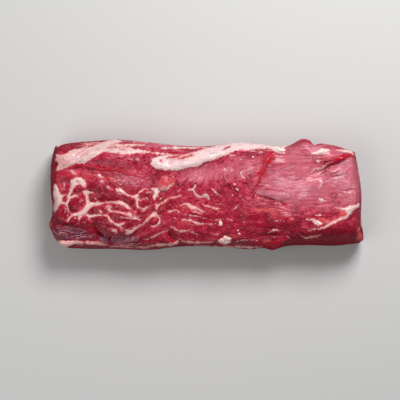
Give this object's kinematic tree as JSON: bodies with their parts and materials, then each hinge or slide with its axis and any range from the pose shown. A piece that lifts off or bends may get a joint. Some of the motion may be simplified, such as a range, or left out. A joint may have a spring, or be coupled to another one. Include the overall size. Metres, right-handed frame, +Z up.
{
  "type": "raw beef steak",
  "caption": "Long thick uncut piece of raw beef lying flat, with marbled muscle lobes at one end, smooth silverskin at the other and a raised fat band along the back edge.",
  "frame": {"origin": "centre of the box's base, on the table under the middle of the piece", "axes": "+X along the piece towards its silverskin end, +Y across it towards the side with the thick fat band, +Z up"},
  "size_m": [0.3176, 0.1124, 0.0577],
  "materials": {
    "flesh": "wet raw meat: crimson muscle with pink-white fat, pale silverskin film and a moist gloss"
  },
  "bodies": {
    "root": {"beef": "flesh"}
  },
  "joints": []
}
